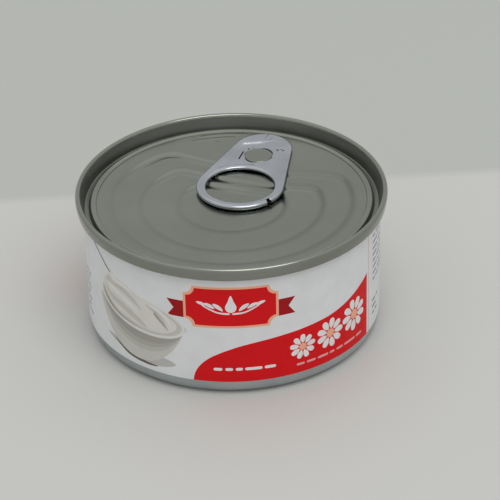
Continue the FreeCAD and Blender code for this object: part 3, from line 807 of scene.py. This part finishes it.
# Behind, a ruled table of two columns, with strokes between its lines.
TABLE_LINES = (7.0, 9.9, 12.8, 15.7, 18.6, 21.5, 24.4, 27.3, 30.2)
TABLE_LEFT, TABLE_PARTED, TABLE_RIGHT = 66.0, 79.5, 88.0
LINE_HALF = 0.12
for up in TABLE_LINES:
    straight_sided("grey", TABLE_LEFT, TABLE_RIGHT, up - LINE_HALF, up + LINE_HALF)
    if up < TABLE_LINES[-1]:
        strokes("grey", 67.0, 76.0, up + 1.45, 0.6, int(60 + up))
        strokes("grey", 81.0, 87.0, up + 1.45, 0.6, int(90 + up))
for along in (TABLE_LEFT, TABLE_PARTED, TABLE_RIGHT):
    straight_sided("grey", along - LINE_HALF, along + LINE_HALF,
                   TABLE_LINES[0] - LINE_HALF, TABLE_LINES[-1] + LINE_HALF)

# Small print beside the lap and left of the front, and the red field with its mark between.
for row in range(12):
    strokes("grey", 92.0, 103.0 - 1.5 * (row % 2), 30.0 - 1.9 * row, SMALL, 120 + row)
for row in range(7):
    strokes("grey", -58.0, -45.6 - 1.8 * (row % 2), 19.0 - 1.85 * row, SMALL, 150 + row)
hill([(-104.0, 4.2), (-102.5, 7.0), (-98.0, 9.6), (-90.0, 11.3), (-80.0, 12.4), (-70.0, 13.6),
      (-63.0, 15.6)])
emblem(-83.0, 24.0, 0.8)
strokes("white", -92.0, -70.0, 8.4, 0.8, 171)
strokes("pink", -90.0, -72.0, 6.2, 0.6, 172)


def inside(outline, x, z):
    """True if a point lies within an outline."""
    within = False
    for (ax, az), (bx, bz) in zip(outline, outline[1:] + outline[:1]):
        if (az > z) != (bz > z) and x < (bx - ax) * (z - az) / (bz - az) + ax:
            within = not within
    return within


def wrapped(along, up, sunk):
    """A point of the strip, or sunk under its face, wrapped round the wall in metres."""
    angle = along / LABEL_R
    over = smooth(math.pi - LAP_HALF - LAP_CLIMB, math.pi - LAP_HALF - LAP_OVER, angle)
    radius = LABEL_R + PAPER * over - sunk
    return (radius * math.sin(angle) * MM, -radius * math.cos(angle) * MM, up * MM)


def new_paper(name, colour):
    """Coated paper under a thin ink, with its fibres just showing."""
    paper, nodes, links, shader = new_finish(name)
    shader.inputs["Specular IOR Level"].default_value = 0.16
    lower = tuple(part * 0.965 for part in colour)
    upper = tuple(min(part * 1.035, 1) for part in colour)
    vary_colour(nodes, links, shader, grain(nodes, links, 220, 4.0), lower, upper)
    vary_roughness(nodes, links, shader, grain(nodes, links, 600, 2.0), 0.44, 0.56)
    raise_surface(nodes, links, shader, grain(nodes, links, 1400), 0.00001)
    return paper


INKS = {
    "paper": (219, 220, 221), "white": (226, 226, 226), "red": (212, 14, 22),
    "dark_red": (158, 14, 20), "peach": (238, 172, 142), "pink": (224, 160, 160),
    "grey": (140, 141, 143), "faint_shadow": (184, 182, 178), "deep_shadow": (104, 98, 90),
    "bowl_side": (197, 195, 189), "bowl_mid": (185, 183, 176), "bowl_shade": (173, 170, 163),
    "bowl_deep": (161, 158, 150), "cream_deep": (163, 158, 149), "bowl_rim": (216, 215, 211),
    "cream": (212, 209, 203), "cream_shade": (195, 191, 184), "cream_light": (222, 221, 218),
    "spoon": (128, 126, 124),
}
papers = [new_paper("label_" + name, printed(*colour)) for name, colour in INKS.items()]


def closely_spaced(outline):
    """The outline with points added on its long sides, so that they bend with the wall."""
    spaced = []
    for (ax, az), (bx, bz) in zip(outline, outline[1:] + outline[:1]):
        parts = max(1, math.ceil(abs(bx - ax)))
        spaced += [(ax + (bx - ax) * i / parts, az + (bz - az) * i / parts) for i in range(parts)]
    return spaced


def strip_edge():
    """The strip's own outline, with points all along its two long edges."""
    lower = [(STRIP_HALF * (2 * i / COLUMNS - 1), LABEL_LOW) for i in range(COLUMNS)]
    upper = [(STRIP_HALF * (1 - 2 * i / COLUMNS), LABEL_HIGH) for i in range(COLUMNS)]
    return lower + [(STRIP_HALF, LABEL_LOW)] + upper + [(-STRIP_HALF, LABEL_HIGH)]


def strip_triangles():
    """The strip laid flat, as points and triangles cut along the outlines of its print."""
    outlines = [closely_spaced(outline) for _, outline in print_shapes]
    spots, borders = joined([strip_edge()] + outlines)
    for i in range(1, COLUMNS):
        spots += [(STRIP_HALF * (2 * i / COLUMNS - 1),
                   LABEL_LOW + (LABEL_HIGH - LABEL_LOW) * j / ROWS) for j in range(1, ROWS)]
    spots = [Vector(spot) for spot in spots]
    flat, _, faces, _, _, _ = delaunay_2d_cdt(spots, borders, [], 0, 1e-5)
    kept = []
    for face in faces:
        middle = middle_of(flat, face)
        if abs(middle.x) < STRIP_HALF and LABEL_LOW < middle.y < LABEL_HIGH:
            kept.append(face)
    return flat, kept


def boxed_shapes():
    """The print's shapes from the top one down, each with the box that it lies in."""
    boxed = []
    for ink, outline in reversed(print_shapes):
        xs, zs = zip(*outline)
        boxed.append((min(xs), max(xs), min(zs), max(zs), ink, outline))
    return boxed


def ink_at(spot, boxed):
    """The ink on top at a point of the strip, or bare paper."""
    for left, right, low, high, ink, outline in boxed:
        if left < spot.x < right and low < spot.y < high and inside(outline, spot.x, spot.y):
            return ink
    return "paper"


def printed_strip():
    """The label as one thin mesh, whose fields of ink all have clean edges."""
    flat, kept = strip_triangles()
    boxed = boxed_shapes()
    ink_numbers = {ink: number for number, ink in enumerate(INKS)}
    finishes = [ink_numbers[ink_at(middle_of(flat, face), boxed)] for face in kept]
    front, back, mesh_points = {}, {}, []
    for i in sorted({i for face in kept for i in face}):
        front[i] = len(mesh_points)
        mesh_points.append(wrapped(flat[i].x, flat[i].y, 0))
        back[i] = len(mesh_points)
        mesh_points.append(wrapped(flat[i].x, flat[i].y, PAPER))
    mesh_faces = [tuple(front[i] for i in face) for face in kept]
    mesh_faces += [tuple(back[i] for i in reversed(face)) for face in kept]
    sides = {side for face in kept for side in zip(face, face[1:] + face[:1])}
    for a, b in sides:
        if (b, a) not in sides:
            mesh_faces.append((front[b], front[a], back[a], back[b]))
    mesh = bpy.data.meshes.new("label_printed")
    mesh.from_pydata(mesh_points, [], mesh_faces)
    for paper in papers:
        mesh.materials.append(paper)
    # The faces after the printed ones are the strip's back and its cut edges, in bare paper.
    for face, finish in zip(mesh.polygons, finishes):
        face.material_index = finish
    piece = placed(mesh)
    mesh.set_sharp_from_angle(angle=math.radians(40))
    return piece


label = printed_strip()
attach(label, "root")
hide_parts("label")

# ---- table, camera and light ----
# A pale table top whose far part is a shade darker, a long lens looking down at the can, and
# wide soft lamps above and in front. Sizes here are in metres.
TOP_HALF = 3
# The far part sets in between these distances behind the can's middle, further off to the
# right.
FAR_FROM, FAR_TO, FAR_SLANT = 0.0607, 0.0643, -0.066
floor_mesh = bpy.data.meshes.new("table_top")
floor_mesh.from_pydata([(-TOP_HALF, -TOP_HALF, 0), (TOP_HALF, -TOP_HALF, 0),
                        (TOP_HALF, TOP_HALF, 0), (-TOP_HALF, TOP_HALF, 0)], [], [(0, 1, 2, 3)])
floor = bpy.data.objects.new("table_top", floor_mesh)
bpy.context.collection.objects.link(floor)
table, nodes, links, shader = new_finish("pale_table")
shader.inputs["Roughness"].default_value = 0.6
shader.inputs["Specular IOR Level"].default_value = 0.3
spot = nodes.new("ShaderNodeTexCoord")
split = nodes.new("ShaderNodeSeparateXYZ")
links.new(spot.outputs["Object"], split.inputs["Vector"])
slant = nodes.new("ShaderNodeMath")
slant.operation = "MULTIPLY_ADD"
slant.inputs[1].default_value = FAR_SLANT
links.new(split.outputs["X"], slant.inputs[0])
links.new(split.outputs["Y"], slant.inputs[2])
away = nodes.new("ShaderNodeMapRange")
away.inputs["From Min"].default_value = FAR_FROM
away.inputs["From Max"].default_value = FAR_TO
links.new(slant.outputs["Value"], away.inputs["Value"])
tone = nodes.new("ShaderNodeValToRGB")
tone.color_ramp.elements[0].color = (*printed(198, 197, 194), 1)
tone.color_ramp.elements[1].color = (*printed(183, 185, 180), 1)
links.new(away.outputs["Result"], tone.inputs["Fac"])
links.new(tone.outputs["Color"], shader.inputs["Base Color"])
floor_mesh.materials.append(table)

TILT, ROLL = math.radians(32.06), math.radians(1.59)
PAN, NOD = math.radians(-0.39), math.radians(0.26)
DISTANCE, AIM_HEIGHT = 0.62086, 0.015
look = Vector((0, math.cos(TILT), -math.sin(TILT)))
right = Vector((1, 0, 0))
up = right.cross(look)
for turn, axis_name in ((PAN, "up"), (NOD, "right"), (ROLL, "look")):
    turning = Matrix.Rotation(turn, 3, {"up": up, "right": right, "look": look}[axis_name])
    look, right, up = turning @ look, turning @ right, turning @ up
lens = bpy.data.cameras.new("camera")
lens.lens = 180
lens.sensor_width = 36
lens.clip_start = 0.01
camera = bpy.data.objects.new("camera", lens)
bpy.context.collection.objects.link(camera)
camera_place = Matrix((right, up, -look)).transposed().to_4x4()
camera_place.translation = (0, -math.cos(TILT) * DISTANCE,
                            math.sin(TILT) * DISTANCE + AIM_HEIGHT)
camera.matrix_world = camera_place
bpy.context.scene.camera = camera


def soft_lamp(name, place, wide, power):
    """A square soft lamp pointed at the middle of the can."""
    light = bpy.data.lights.new(name, "AREA")
    light.size = wide
    light.energy = power
    lamp = bpy.data.objects.new(name, light)
    bpy.context.collection.objects.link(lamp)
    lamp.location = place
    aim = Vector((0, 0, 0.02)) - Vector(place)
    lamp.rotation_euler = aim.to_track_quat("-Z", "Y").to_euler()


soft_lamp("lamp_above", (0, 0, 1.3), 2.4, 3.5)
soft_lamp("lamp_front", (0.25, -0.6, 1.35), 1.0, 6.5)

world = bpy.data.worlds.new("room")
world.use_nodes = True
room = world.node_tree.nodes["Background"]
room.inputs["Color"].default_value = (*printed(209, 211, 210), 1)
room.inputs["Strength"].default_value = 1.0
bpy.context.scene.world = world
bpy.context.scene.view_settings.view_transform = "Standard"
